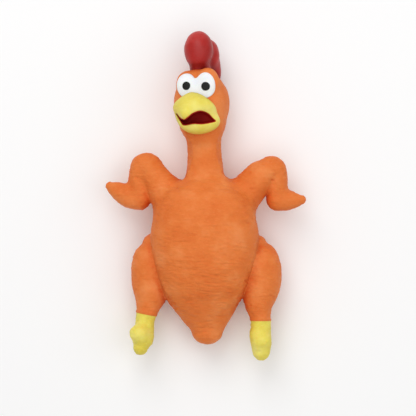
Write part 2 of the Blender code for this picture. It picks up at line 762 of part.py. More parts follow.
def comb_socket(face):
    """A round groove in the head's top; its front wall stops short of the brow."""
    front = COMB_ROOT_HALF + TURN_GAP
    back = -COMB_ROOT_HALF - 20.0
    return cylinder(
        "comb_socket", (0.0, COMB_HINGE_UP, (front + back) / 2), COMB_ROOT_RADIUS + TURN_GAP, front - back,
        (0, 0, 1), parent=face,
    )


def comb(pivots):
    """Two swollen lobes on a round root that rocks in the head's groove."""
    face = pivots["face"]
    root = [
        (0.0, COMB_HINGE_UP, forward, COMB_ROOT_RADIUS * share, COMB_ROOT_RADIUS * share)
        for forward, share in (
            (-COMB_ROOT_HALF, 0.5), (-0.8 * COMB_ROOT_HALF, 0.9), (0.0, 1.0),
            (0.8 * COMB_ROOT_HALF, 0.9), (COMB_ROOT_HALF, 0.5),
        )
    ]
    whole = united("comb", [COMB_FRONT_RINGS, COMB_REAR_RINGS], LIMB_SIDES, colour="red", parent=face)
    boolean(whole, loft("comb_root", root, LIMB_SIDES, deep_axis=(0, 1, 0), parent=face), "UNION")
    bpy.context.view_layer.update()
    hold_place(whole, pivots["comb"])


def wings(pivots):
    for side, wing in WINGS.items():
        skin = united(f"wing_skin_{side}", wing.stretches, LIMB_SIDES, colour="orange")
        boolean(skin, united(f"wing_inside_{side}", wing.stretches[:2], LIMB_SIDES, SKIN))
        hole = cylinder(
            f"wing_mouth_{side}", wing.root - wing.out * WING_ROOT_RADIUS, WING_ROOT_RADIUS * 0.5, 8.0, wing.out
        )
        boolean(skin, hole)
        filling = united(
            f"wing_stuffing_{side}", wing.stretches[:2], LIMB_SIDES, SKIN + FILL_GAP, "fibre"
        )
        for piece in (skin, filling):
            hold_place(piece, pivots[f"wing_{side}"])


def legs(pivots):
    for side, leg in LEGS.items():
        skin = loft(f"leg_skin_{side}", leg.thigh, LIMB_SIDES, colour="orange")
        boolean(skin, loft(f"leg_inside_{side}", leg.thigh, LIMB_SIDES, SKIN))
        filling = loft(f"leg_stuffing_{side}", leg.thigh, LIMB_SIDES, SKIN + FILL_GAP, "fibre")
        inner_side = half_space(f"leg_root_{side}", leg.hip + leg.out * HIP_GAP, -leg.out)
        socket = bullet(f"ankle_socket_{side}", leg.ankle, ANKLE_RADIUS + TURN_GAP, 24.0, (0, -1, 0))
        for piece in (skin, filling):
            boolean(piece, inner_side)
            boolean(piece, socket)
            hold_place(piece, pivots[f"leg_{side}"])

        foot = loft(f"foot_{side}", leg.foot, LIMB_SIDES, colour="yellow")
        toe = ball(f"toe_{side}", leg.toe[:3], [leg.toe[3]] * 3, segments=16)
        boolean(foot, toe, "UNION")
        hold_place(foot, pivots[f"foot_{side}"])


def joint_pivots():
    """An empty on every joint's centre, each carried by the body it turns on."""
    made = {"neck": pivot("neck_pivot", NECK_BASE)}
    made["head"] = pivot("head_pivot", HEAD_BASE, made["neck"])
    made["face"] = pivot("face_axes", HEAD_CENTRE, made["head"], -HEAD_TURN)
    made["comb"] = pivot("comb_pivot", to_head((0.0, COMB_HINGE_UP, 0.0)), made["head"])
    for side, wing in WINGS.items():
        made[f"wing_{side}"] = pivot(f"wing_pivot_{side}", wing.root)
    for side, leg in LEGS.items():
        made[f"leg_{side}"] = pivot(f"leg_pivot_{side}", leg.hip)
        made[f"foot_{side}"] = pivot(f"foot_pivot_{side}", leg.ankle, made[f"leg_{side}"])
    return made


def main():
    pivots = joint_pivots()
    torso(pivots)
    back_patch()
    squeaker()
    neck(pivots)
    head(pivots)
    comb(pivots)
    wings(pivots)
    legs(pivots)


clear_scene()
parts = new_collection("rubber_chicken")
cutters = new_collection("cutters")
main()
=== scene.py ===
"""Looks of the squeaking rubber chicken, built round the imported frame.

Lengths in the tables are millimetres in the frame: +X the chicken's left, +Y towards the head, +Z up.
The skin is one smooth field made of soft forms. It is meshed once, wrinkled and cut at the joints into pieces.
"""

import json
import math

import bmesh
import bpy
import numpy as np
import openvdb
from mathutils import Matrix, Vector, noise


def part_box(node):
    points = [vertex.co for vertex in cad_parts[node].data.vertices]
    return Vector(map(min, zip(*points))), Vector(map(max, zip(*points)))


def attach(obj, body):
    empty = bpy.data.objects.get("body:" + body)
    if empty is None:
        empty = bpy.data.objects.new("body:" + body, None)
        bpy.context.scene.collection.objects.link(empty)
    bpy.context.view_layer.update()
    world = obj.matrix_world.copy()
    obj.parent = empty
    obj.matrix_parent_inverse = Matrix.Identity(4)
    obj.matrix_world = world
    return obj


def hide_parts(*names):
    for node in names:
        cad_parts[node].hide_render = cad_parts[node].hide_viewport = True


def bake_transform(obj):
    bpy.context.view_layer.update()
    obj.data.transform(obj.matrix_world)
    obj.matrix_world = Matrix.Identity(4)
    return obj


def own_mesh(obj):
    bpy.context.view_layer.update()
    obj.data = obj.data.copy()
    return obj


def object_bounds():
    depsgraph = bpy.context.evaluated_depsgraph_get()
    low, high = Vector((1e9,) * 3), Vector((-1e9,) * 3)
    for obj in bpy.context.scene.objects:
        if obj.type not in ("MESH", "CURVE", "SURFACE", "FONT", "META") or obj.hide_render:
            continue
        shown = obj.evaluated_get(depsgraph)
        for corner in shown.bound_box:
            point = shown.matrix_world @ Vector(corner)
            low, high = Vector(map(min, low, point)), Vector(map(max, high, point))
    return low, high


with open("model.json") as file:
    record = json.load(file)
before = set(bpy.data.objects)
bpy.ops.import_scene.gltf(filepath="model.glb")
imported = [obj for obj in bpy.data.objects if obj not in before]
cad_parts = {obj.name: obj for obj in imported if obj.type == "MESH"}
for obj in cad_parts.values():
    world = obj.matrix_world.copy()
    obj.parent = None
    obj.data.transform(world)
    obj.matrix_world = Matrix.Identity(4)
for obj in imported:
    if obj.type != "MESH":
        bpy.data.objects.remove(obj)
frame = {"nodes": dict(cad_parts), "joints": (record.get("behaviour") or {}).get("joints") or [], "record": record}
cad_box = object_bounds()

MM = 0.001
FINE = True
SKIN_VOXEL = 1.0 if FINE else 1.6      # grid of the body's skin, mm
FACE_VOXEL = 0.6 if FINE else 0.9      # grid of beak, eyes and comb, mm
LATEX = 1.8                            # wall thickness, mm
FAR = 14.0                             # reach of a form's field outside itself, mm
SEED = 7

joints = {j["name"]: j for j in frame["joints"]}


def pivot(name):
    return Vector(joints[name]["pos_m"]) / MM


def box_mm(node):
    low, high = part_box(node)
    return low / MM, high / MM


NECK = pivot("neck_sway")
HEAD = pivot("head_nod")
SHOULDER = {side: pivot(f"wing_flap_{side}") for side in ("left", "right")}
HIP = {side: pivot(f"leg_swing_{side}") for side in ("left", "right")}
ANKLE = {side: pivot(f"foot_bend_{side}") for side in ("left", "right")}
COMB = pivot("comb_flop")
FACE = COMB - Vector((0.0, 30.0, 0.0))          # middle of the head, under the comb's hinge
TURN = math.atan2(-joints["comb_flop"]["axis"][0], joints["comb_flop"]["axis"][2])
TO_FACE = Matrix.Rotation(TURN, 3, "Y")
BACK_Z = box_mm("back_patch")[1].z

# ---------------------------------------------------------------- forms

# (x, y, z, half width, half depth) of rings
TORSO = [
    (2.2, -85.0, 26.4, 13.0, 11.4), (2.1, -80.0, 26.2, 17.2, 14.8), (1.4, -68.0, 26.4, 25.6, 21.0),
    (0.1, -50.0, 28.5, 37.0, 28.5), (-0.6, -30.0, 32.5, 44.0, 35.0), (-0.5, -12.0, 34.5, 48.0, 38.5),
    (-0.4, 4.0, 35.0, 49.8, 39.4), (-0.6, 18.0, 35.0, 47.8, 39.4), (-0.5, 34.0, 33.8, 44.6, 36.0),
    (-0.2, 46.0, 32.8, 36.0, 29.0), (0.0, 53.0, 33.0, 27.0, 22.0), (-0.3, 58.0, 34.0, 15.0, 13.0),
]
TAIL = ((2.3, -81.8, 26.6), (14.3, 14.4, 12.4))
NECK_RINGS = [
    (-0.5, 42.0, 34.0, 12.0, 12.0), (-0.3, 52.0, 34.0, 17.4, 17.0), (-0.1, 62.0, 34.0, 17.0, 16.5),
    (-0.3, 76.0, 34.0, 15.9, 16.0), (-0.7, 88.0, 34.2, 15.6, 16.2), (-1.2, 97.0, 34.8, 16.8, 17.2),
    (-2.0, 108.0, 35.0, 18.0, 18.0), (-3.0, 118.0, 35.0, 12.0, 12.0),
]
SKULL = [
    (1.2, -29.0, -3.0, 9.0, 10.0), (1.2, -23.0, -1.5, 17.2, 18.5), (0.8, -12.0, -0.5, 22.2, 24.0),
    (0.4, 0.0, 0.0, 25.2, 26.6), (0.1, 12.0, 0.0, 24.6, 25.6), (0.1, 22.0, 0.0, 20.4, 22.5),
    (0.4, 29.5, -1.0, 14.6, 17.5), (0.6, 34.0, -2.0, 8.0, 10.0),
]
# Wings from the shoulder and legs from the hip, the wings in three stretches each
WINGS = {
    "right": [
        [(6.5, -9.5, 0, 14.0, 11.0), (-1.5, 1.5, 0, 16.4, 13.0), (-8.0, 10.0, 0, 14.6, 13.0),
         (-13.4, 18.0, 0, 13.4, 13.0), (-16.0, 23.0, 0, 12.4, 12.2)],
        [(-21.0, 25.0, -2, 10.4, 10.4), (-22.6, 20.0, -2.5, 11.0, 11.4), (-24.0, 10.0, -3, 11.2, 11.4),
         (-24.4, 1.0, -3.5, 11.2, 11.4), (-24.6, -4.6, -3.5, 10.4, 10.4)],
        [(-24.0, -6.0, -3.5, 9.6, 9.6), (-33.8, -3.4, -3.2, 10.8, 9.6), (-42.7, 0.8, -2.6, 8.8, 8.6),
         (-49.0, 4.2, -2.0, 6.4, 6.6), (-52.6, 6.4, -1.8, 3.8, 4.0)],
    ],
    "left": [
        [(-7.5, -8.5, 0, 14.0, 11.0), (1.5, 1.5, 0, 16.0, 13.0), (8.2, 9.4, 0, 15.4, 13.0),
         (15.6, 16.8, 0, 14.4, 13.0), (20.6, 20.6, 0, 12.6, 12.0)],
        [(28.0, 21.0, -2, 10.0, 10.4), (28.6, 17.0, -2.5, 10.4, 11.2), (29.2, 9.0, -3, 10.4, 11.2),
         (29.8, 1.0, -3.5, 10.2, 11.0), (30.2, -5.0, -3.5, 9.8, 10.2)],
        [(29.5, -6.2, -3.5, 9.0, 9.2), (40.6, -5.8, -3.0, 9.2, 9.2), (47.0, -5.9, -2.4, 7.0, 7.4),
         (52.0, -5.6, -1.8, 4.4, 4.8)],
    ],
}
ELBOWS = {
    "right": ((-18.4, 22.0, -1.5), (14.8, 14.8, 11.0)),
    "left": ((24.2, 20.4, -1.5), (14.0, 14.4, 11.0)),
}
LEGS = {
    "right": [
        (-3.4, 16.0, -3, 10.6, 12.0), (-4.2, 10.0, -3, 15.2, 15.6), (-4.9, 1.0, -3, 17.8, 18.0),
        (-5.6, -14.0, -3, 17.9, 18.4), (-6.0, -31.0, -1, 15.2, 15.4), (-8.6, -43.0, 0.4, 10.4, 11.4),
        (-10.8, -52.0, 1.0, 8.9, 9.8), (-11.4, -62.0, 1.2, 9.0, 9.8), (-12.4, -68.0, 2.4, 9.8, 10.4),
        (-13.8, -73.6, 3.2, 9.0, 10.0), (-14.8, -77.6, 4.0, 7.0, 8.0),
    ],
    "left": [
        (4.6, 15.0, -3, 11.0, 12.0), (6.4, 9.0, -3, 16.2, 16.2), (8.2, -1.0, -2, 19.2, 19.0),
        (9.4, -14.0, -2, 19.0, 19.0), (8.2, -29.0, -1, 17.0, 16.6), (7.6, -40.0, 0.0, 12.8, 13.2),
        (8.8, -49.0, 0, 9.9, 11.0), (9.5, -57.0, 0, 9.2, 10.2), (9.6, -66.0, 0.8, 9.2, 10.2),
        (9.6, -76.0, 1.8, 9.4, 10.4), (9.8, -82.0, 2.6, 8.2, 9.0),
    ],
}
TOES = {"right": [(-6.0, -12.2, 9.5, 8.2)], "left": [(0.4, -15.4, 8.6, 8.0), (-3.2, -9.0, 5.0, 6.8)]}


def smooth_rings(rings, count):
    """The rings again, at count even steps along a smooth curve through them."""
    rings = np.array(rings, float)
    gaps = np.linalg.norm(np.diff(rings[:, :3], axis=0), axis=1)
    along = np.concatenate([[0.0], np.cumsum(gaps)])
    slopes = np.gradient(rings, along, axis=0)
    t = np.linspace(0.0, along[-1], count)
    i = np.clip(np.searchsorted(along, t, side="right") - 1, 0, len(along) - 2)
    h = (along[i + 1] - along[i])[:, None]
    s = ((t - along[i]) / (along[i + 1] - along[i]))[:, None]
    return (
        (2 * s**3 - 3 * s**2 + 1) * rings[i] + (s**3 - 2 * s**2 + s) * h * slopes[i]
        + (3 * s**2 - 2 * s**3) * rings[i + 1] + (s**3 - s**2) * h * slopes[i + 1]
    )


def rounding(wave, fullness):
    """A circle's coordinate made that of a fuller oval when fullness is over 2."""
    return np.sign(wave) * np.abs(wave) ** (2.0 / fullness)


def rounded_ends(rings, bulge=0.9):
    """Adds a half egg of rings at both ends."""
    for _ in range(2):
        end, before = rings[-1], rings[-2]
        ahead = (end - before)[:3]
        ahead /= np.linalg.norm(ahead)
        cap = []
        for share in (0.3, 0.55, 0.75, 0.9, 0.98):
            narrow = math.sqrt(1.0 - share * share)
            centre = end[:3] + ahead * (end[4] * bulge * share)
            cap.append(np.array([*centre, end[3] * narrow, end[4] * narrow]))
        rings = np.concatenate([rings, cap])[::-1]
    return rings


def tube(rings, deep=(0.0, 0.0, 1.0), count=40, sides=48, fullness=2.0):
    """Vertices and quads of a closed form lofted through rings, in the rings' own axes."""
    rings = rounded_ends(smooth_rings(rings, count))
    count = len(rings)
    centres = rings[:, :3]
    ahead = np.gradient(centres, axis=0)
    ahead /= np.linalg.norm(ahead, axis=1)[:, None]
    across = np.cross(ahead, np.array(deep))
    across /= np.linalg.norm(across, axis=1)[:, None]
    up = np.cross(across, ahead)
    angle = 2 * math.pi * np.arange(sides) / sides
    ring_points = (
        centres[:, None]
        + across[:, None] * (rings[:, 3, None] * rounding(np.cos(angle), fullness))[:, :, None]
        + up[:, None] * (rings[:, 4, None] * rounding(np.sin(angle), fullness))[:, :, None]
    )
    points = np.concatenate([ring_points.reshape(-1, 3), centres[:1], centres[-1:]])
    quads, caps = [], []
    for i in range(count - 1):
        for k in range(sides):
            a, b = i * sides + k, i * sides + (k + 1) % sides
            quads.append((a, b, b + sides, a + sides))
    first, last = count * sides, count * sides + 1
    for k in range(sides):
        caps.append((first, (k + 1) % sides, k))
        end = (count - 1) * sides
        caps.append((last, end + k, end + (k + 1) % sides))
    return points, np.array(quads, np.uint32), np.array(caps, np.uint32)


def from_face(points):
    """Points in the face's own axes (across, up, forward), put in the frame."""
    return np.array(points, float) @ np.array(TO_FACE.transposed(), float).T + np.array(FACE)


class Field:
    """Signed distances in mm on a regular grid; forms are blended in one after another."""

    def __init__(self, low, high, voxel):
        self.low, self.voxel = np.array(low, float), voxel
        self.shape = tuple(int(math.ceil((b - a) / voxel)) + 1 for a, b in zip(low, high))
        self.values = np.full(self.shape, FAR, np.float32)

    def form(self, shape):
        """The distance of the grid's points to a closed form."""
        points, quads, caps = shape
        local = ((points - self.low) / self.voxel).astype(np.float32)
        band = FAR / self.voxel
        grid = openvdb.FloatGrid.createLevelSetFromPolygons(
            local, triangles=caps, quads=quads, transform=openvdb.createLinearTransform(1.0),
            exBandWidth=band, inBandWidth=8.0 / self.voxel,
        )
        values = np.full(self.shape, band, np.float32)
        grid.copyToArray(values, (0, 0, 0))
        return values * self.voxel

    def axes(self):
        """The grid points' x, y and z in mm, ready to be combined."""
        return np.meshgrid(*[
            (self.low[i] + self.voxel * np.arange(self.shape[i])).astype(np.float32) for i in range(3)
        ], indexing="ij", sparse=True)

    def face_axes(self):
        """The grid points' across, up and forward in the face's own axes."""
        x, y, z = self.axes()
        x, y, z = x - FACE.x, y - FACE.y, z - FACE.z
        cos, sin = math.cos(TURN), math.sin(TURN)
        return cos * x + sin * z, y, cos * z - sin * x

    def egg(self, centre, radii, lean=0.0, axes=None):
        """Distance to an ellipsoid; lean tips its front end down, in degrees, about its first axis."""
        a, b, c = axes or self.axes()
        a, b, c = a - centre[0], b - centre[1], c - centre[2]
        cos, sin = math.cos(math.radians(lean)), math.sin(math.radians(lean))
        b, c = cos * b + sin * c, cos * c - sin * b
        k0 = np.sqrt((a / radii[0]) ** 2 + (b / radii[1]) ** 2 + (c / radii[2]) ** 2)
        k1 = np.sqrt((a / radii[0] ** 2) ** 2 + (b / radii[1] ** 2) ** 2 + (c / radii[2] ** 2) ** 2)
        return k0 * (k0 - 1.0) / np.maximum(k1, 1e-4)

    def join(self, other, fillet):
        """Adds another field with a fillet about that many mm wide."""
        self.values = soft_min(self.values, other, fillet)
        return self

    def surface(self, level=0.0):
        """Points in mm and quads of the surface at a level."""
        grid = openvdb.FloatGrid(FAR)
        grid.copyFromArray(np.ascontiguousarray(self.values))
        points, quads = grid.convertToQuads(level)
        return points.astype(float) * self.voxel + self.low, quads.astype(int)


def soft_min(a, b, width):
    width = np.maximum(width, 1e-3)
    overlap = np.maximum(width - np.abs(a - b), 0.0)
    return np.minimum(a, b) - overlap * overlap / (4.0 * width)


def soft_max(a, b, width):
    return -soft_min(-a, -b, width)


def offset_rings(rings, origin):
    return [(r[0] + origin.x, r[1] + origin.y, r[2] + origin.z, r[3], r[4]) for r in rings]


def body_field():
    """The whole skin but for the comb and beak, with the shoulders filleted and the thighs creased."""
    low, high = cad_box[0] / MM, cad_box[1] / MM
    field = Field((low.x - 5, low.y - 5, -6), (high.x + 5, COMB.y + 12, 78), SKIN_VOXEL)
    field.values = field.form(tube(TORSO, count=60, sides=96, fullness=2.3))
    field.join(field.egg(*TAIL), 3.0)
    for side in ("right", "left"):
        upper, forearm, hand = [field.form(tube(offset_rings(r, SHOULDER[side]))) for r in WINGS[side]]
        wing = soft_min(soft_min(forearm, hand, 4.0), upper, 1.6)
        centre, radii = ELBOWS[side]
        wing = soft_min(wing, field.egg(SHOULDER[side] + Vector(centre), radii), 2.0)
        field.join(wing, 7.0)
    front = np.clip((field.axes()[2] - 38.0) / 10.0, 0.0, 1.0)
    field.join(field.form(tube(NECK_RINGS)), 5.0 + 16.0 * front)
    for side in ("right", "left"):
        leg = field.form(tube(offset_rings(LEGS[side], HIP[side]), count=60))
        for x, y, z, radius in TOES[side]:
            centre = ANKLE[side] + Vector((x, y, z))
            leg = soft_min(leg, field.egg(centre, (radius, radius, radius * 0.9)), 5.0)
        field.join(leg, 1.6)
    field.join(skull(field), 6.0)
    field.values = soft_max(field.values, 1.0 - mouth_hollow(field, field.face_axes()), 0.8)
    z = field.axes()[2]
    field.values = soft_max(field.values, BACK_Z + 0.3 - z, 3.0)
    return field


def skull(field):
    """The head with its two eyeball swellings under a pair of brows."""
    points, quads, caps = tube(SKULL)
    head = field.form((from_face(points), quads, caps))
    axes = field.face_axes()
    for centre, radii in EYEBALLS.values():
        head = soft_min(head, field.egg(centre, radii, axes=axes), 3.0)
    return head


# (across, up, forward) in the face's own axes
EYEBALLS = {
    "right": ((-9.0, 20.4, 14.0), (10.4, 12.8, 9.6)),
    "left": ((10.2, 21.6, 14.0), (11.4, 14.4, 9.8)),
}
WHITES = {
    "right": ((-7.6, 19.8), (9.6, 11.0)),
    "left": ((10.4, 19.6), (9.2, 12.0)),
    "bridge": ((2.2, 16.4), (7.0, 10.0)),
}
PUPILS = {"right": ((-6.7, 19.2), 4.0), "left": ((11.7, 18.7), 4.1)}
BEAK_DOMES = [
    ((-0.5, 0.5, 20.0), (21.5, 14.0, 19.0), 0.0, 0.0),
    ((0.0, -1.5, 33.0), (11.5, 9.5, 14.0), 20.0, 8.0),
    ((0.5, -7.0, 44.5), (4.8, 5.6, 5.2), 25.0, 6.0),
    ((1.0, -13.0, 16.0), (22.0, 13.0, 16.0), 0.0, 6.0),
    ((0.5, -16.5, 27.0), (12.0, 7.6, 10.0), 0.0, 6.0),
]
# Outlines seen from straight in front of the lying chicken: (x, y) from the middle of the head
BEAK_OUTLINE = [
    (-10.6, 14.0), (-18.9, 8.8), (-24.2, 4.0), (-26.2, -0.5), (-25.4, -6.0), (-23.2, -11.5), (-19.4, -18.2),
    (-12.9, -23.3), (-3.2, -26.0), (6.9, -24.0), (14.7, -19.4), (18.3, -13.7), (15.9, -5.0), (10.8, 3.0),
    (2.5, 9.8), (-5.0, 13.4),
]
MOUTH_OUTLINE = [
    (-22.8, -6.3), (-19.6, -10.0), (-15.8, -12.0), (-12.2, -9.8), (-7.4, -6.1), (-0.9, -4.1), (6.0, -6.3),
    (10.1, -10.2), (13.1, -13.3), (7.8, -14.8), (0.0, -15.9), (-7.4, -15.6), (-15.9, -16.9), (-19.0, -13.2),
]
MOUTH_BACK = 17.0
EYE_FRONT = 12.0       # the eyes' paint stays this far forward


def outline_distance(field, corners):
    """Distance to a smooth outline in the x-y plane, the same at every depth."""
    corners = np.array(corners)
    loop = []
    for i in range(len(corners)):
        a, b, c, d = (corners[(i + k) % len(corners)] for k in range(-1, 3))
        for s in np.arange(0.0, 1.0, 0.125):
            loop.append(0.5 * (2 * b + (c - a) * s + (2 * a - 5 * b + 4 * c - d) * s**2
                               + (3 * b - a - 3 * c + d) * s**3))
    x, y, _ = field.axes()
    x, y = (x - FACE.x)[:, :, 0], (y - FACE.y)[:, :, 0]
    near = np.full(np.broadcast(x, y).shape, 1e6)
    inside = np.zeros(near.shape, bool)
    for (ax, ay), (bx, by) in zip(loop, loop[1:] + loop[:1]):
        length = (bx - ax) ** 2 + (by - ay) ** 2
        along = np.clip(((x - ax) * (bx - ax) + (y - ay) * (by - ay)) / length, 0.0, 1.0)
        near = np.minimum(near, (x - ax - along * (bx - ax)) ** 2 + (y - ay - along * (by - ay)) ** 2)
        if ay != by:
            inside ^= ((ay > y) != (by > y)) & (x < (bx - ax) * (y - ay) / (by - ay) + ax)
    return (np.sqrt(near) * np.where(inside, -1.0, 1.0)).astype(np.float32)[:, :, None]


def grown(field, eggs, axes):
    total = None
    for centre, radii, lean, fillet in eggs:
        part = field.egg(centre, radii, lean, axes)
        total = part if total is None else soft_min(total, part, fillet)
    return total


def mouth_hollow(field, axes):
    """The open mouth, a little narrower further in, with a rounded back wall."""
    forward = axes[2]
    narrowing = 0.03 * np.maximum(30.0 - forward, 0.0) - 0.3
    return soft_max(outline_distance(field, MOUTH_OUTLINE) + narrowing, MOUTH_BACK - forward, 3.0)


# ---------------------------------------------------------------- meshes

def mesh_object(name, points, faces):
    mesh = bpy.data.meshes.new(name)
    mesh.from_pydata([tuple(p) for p in np.asarray(points) * MM], [], [tuple(f) for f in faces])
    mesh.validate()
    obj = bpy.data.objects.new(name, mesh)
    bpy.context.scene.collection.objects.link(obj)
    mesh.shade_smooth()
    return obj


def vertex_normals(points, faces):
    """Area-weighted normals of quads or triangles."""
    a = points[faces[:, 2]] - points[faces[:, 0]]
    b = points[faces[:, -1]] - points[faces[:, 1]]
    turned = np.cross(a, b)
    normals = np.zeros_like(points)
    for k in range(faces.shape[1]):
        np.add.at(normals, faces[:, k], turned)
    return normals / np.maximum(np.linalg.norm(normals, axis=1), 1e-9)[:, None]


def relax(points, faces, rounds, share=0.5):
    """Evens a surface out, and pushes it back so that it doesn't shrink."""
    edges = np.unique(np.sort(np.concatenate([
        faces[:, [k, (k + 1) % faces.shape[1]]] for k in range(faces.shape[1])
    ]), axis=1), axis=0)
    degree = np.bincount(edges.ravel(), minlength=len(points))[:, None]
    for i in range(rounds * 2):
        total = np.zeros_like(points)
        np.add.at(total, edges[:, 0], points[edges[:, 1]])
        np.add.at(total, edges[:, 1], points[edges[:, 0]])
        step = total / degree - points
        points = points + step * (share if i % 2 == 0 else -share * 1.04)
    return points


def noise_at(points, scale, seed):
    """Smooth noise from about -1 to 1; scale is its feature size along each axis, mm."""
    shift = Vector((seed * 17.3, seed * 5.1, seed * 9.7))
    scaled = points / np.array(scale)
    return np.array([noise.noise(Vector(p) + shift) for p in scaled])


def wrinkle(points, normals):
    """Fine cross wrinkles on the front, soft lumps, and small nicks all over; smooth on the face."""
    front = np.clip((points[:, 2] - 24.0) / 20.0, 0, 1) * np.clip((104.0 - points[:, 1]) / 20.0, 0, 1)
    trunk = np.clip((56.0 - np.abs(points[:, 0])) / 16.0, 0, 1)
    plain = 1.0 - 0.7 * np.clip((points[:, 1] - 104.0) / 10.0, 0, 1)
    patchy = 0.5 + noise_at(points, (26.0, 18.0, 26.0), 5)
    lines = noise_at(points, (8.5, 1.9, 9.0), 1)
    fine = noise_at(points, (4.5, 1.3, 4.5), 2)
    grain = noise_at(points, (2.6, 2.0, 2.6), 3)
    lumps = noise_at(points, (15.0, 12.0, 15.0), 4)
    height = lines * (0.18 + 0.60 * front * trunk * np.clip(patchy, 0.15, 1.0))
    height += fine * 0.28 * (0.4 + front)
    height += grain * 0.20 + lumps * 0.42
    height = height * plain + marks(points, normals) + creases(points) + cuffs(points)
    return points + normals * height[:, None]


def marks(points, normals):
    """Nicks and beads left by the mould, a round bump on the belly, and spurs of flash on the wings."""
    random = np.random.default_rng(SEED)
    facing = np.flatnonzero((normals[:, 2] > -0.2) & (points[:, 1] < 105.0))
    total = np.zeros(len(points))
    places = []
    for _ in range(260):
        centre = points[random.choice(facing)]
        size = (random.uniform(0.9, 3.0), random.uniform(0.5, 1.0), 2.0)
        places.append((centre, size, random.uniform(0.3, 0.9) * (-1.0 if random.random() < 0.62 else 0.8)))
    places.append(((-8.0, -62.0, 48.0), (5.0, 4.4, 12.0), 0.5))
    places.append((HIP["left"] + Vector((-2.6, -6.0, 16.0)), (1.8, 2.4, 6.0), -1.3))
    places.append((WRIST_SPUR, (0.9, 0.9, 1.4), 1.6))
    places.append((TIP_SPUR, (1.1, 0.8, 1.4), 1.2))
    for centre, size, depth in places:
        near = (points - np.array(centre)) / np.array(size)
        total += depth * np.exp(-np.sum(near * near, axis=1))
    return total


def creases(points):
    """Short folds fanning out from the shoulders, and shallow ones across the elbows and hips."""
    total = np.zeros(len(points))
    for side, sign in (("right", -1.0), ("left", 1.0)):
        for origin, angle, reach, depth in FOLDS:
            start = np.array(SHOULDER[side])[:2] + np.array(origin) * (sign, 1.0)
            turn = math.radians(angle)
            ahead = np.array((sign * math.cos(turn), math.sin(turn)))
            away = points[:, :2] - start
            along, across = away @ ahead, away @ np.array((-ahead[1], ahead[0]))
            wave = across - 0.7 * np.sin(along * 0.5 + angle)
            total -= depth * np.exp(-(wave / 0.75) ** 2 - ((along - reach / 2) / (reach / 2)) ** 4)
    return total * (points[:, 2] > 30.0)


# Each fold's start from the shoulder (outwards, towards the head), its angle, length and depth
FOLDS = [
    ((-7.0, -7.0), 8.0, 13.0, 0.55), ((-8.0, -2.0), 24.0, 12.0, 0.45), ((-6.0, 5.0), 44.0, 10.0, 0.40),
    ((-4.0, -11.0), -12.0, 9.0, 0.50), ((7.0, 14.0), 120.0, 7.0, 0.35), ((-12.0, 1.0), 60.0, 9.0, 0.40),
    ((-3.0, -56.0), 12.0, 12.0, 0.45), ((-1.0, -62.0), 20.0, 9.0, 0.35), ((0.0, -50.0), -4.0, 8.0, 0.35),
]


def cuffs(points):
    """A thin rolled edge of orange just above each painted foot."""
    total = np.zeros(len(points))
    for side, sign in (("right", -1.0), ("left", 1.0)):
        point, normal = SOCK[side]
        past = (points - np.array(point)) @ np.array(normal.normalized())
        here = (points[:, 0] * sign > 30.0) & (points[:, 1] < -45.0)
        total += here * 0.55 * np.exp(-((past - 1.3) / 1.1) ** 2)
    return total


WRIST_SPUR = SHOULDER["right"] + Vector((-22.4, -14.6, -3.5))
TIP_SPUR = SHOULDER["right"] + Vector((-53.4, 3.2, -2.0))


def shell(name, points, faces, normals, thickness=LATEX):
    """A closed skin of a thickness: the outside as given, an inside, and a rim where it was cut."""
    used, faces = np.unique(faces, return_inverse=True)
    faces = faces.reshape(-1, 4) if faces.ndim == 1 else faces
    points, normals = points[used], normals[used]
    count = len(points)
    inside = points - normals * thickness
    edges = np.concatenate([faces[:, [k, (k + 1) % 4]] for k in range(4)])
    forward = {(a, b) for a, b in edges.tolist() if a != b}
    rim = [(b, a, a + count, b + count) for a, b in sorted(forward) if (b, a) not in forward]
    whole = [f for f in faces.tolist()] + [[v + count for v in reversed(f)] for f in faces.tolist()]
    whole = [list(dict.fromkeys(f)) for f in whole]
    whole = [f for f in whole if len(f) > 2]
    obj = mesh_object(name, np.concatenate([points, inside]), whole + [list(f) for f in rim])
    obj.data.normals_split_custom_set_from_vertices(np.concatenate([normals, -normals]).tolist())
    return obj


def cut_mesh(points, faces, planes):
    """Splits every face that a plane crosses, so that pieces meet on clean lines."""
    mesh = bmesh.new()
    verts = [mesh.verts.new(p) for p in points]
    for face in faces:
        mesh.faces.new([verts[i] for i in face])
    for point, normal, where in planes:
        centre = np.array(point)
        near = [f for f in mesh.faces if where(f.calc_center_median())]
        geometry = set(near)
        for f in near:
            geometry.update(f.edges)
            geometry.update(f.verts)
        bmesh.ops.bisect_plane(
            mesh, geom=list(geometry), dist=0.02, plane_co=Vector(centre), plane_no=Vector(normal)
        )
    bmesh.ops.triangulate(mesh, faces=[f for f in mesh.faces if len(f.verts) > 4])
    mesh.verts.index_update()
    points = np.array([v.co for v in mesh.verts], float)
    faces = np.array([
        [v.index for v in f.verts] + ([f.verts[0].index] if len(f.verts) == 3 else []) for f in mesh.faces
    ])
    mesh.free()
    return points, faces


# ---------------------------------------------------------------- cuts and bends

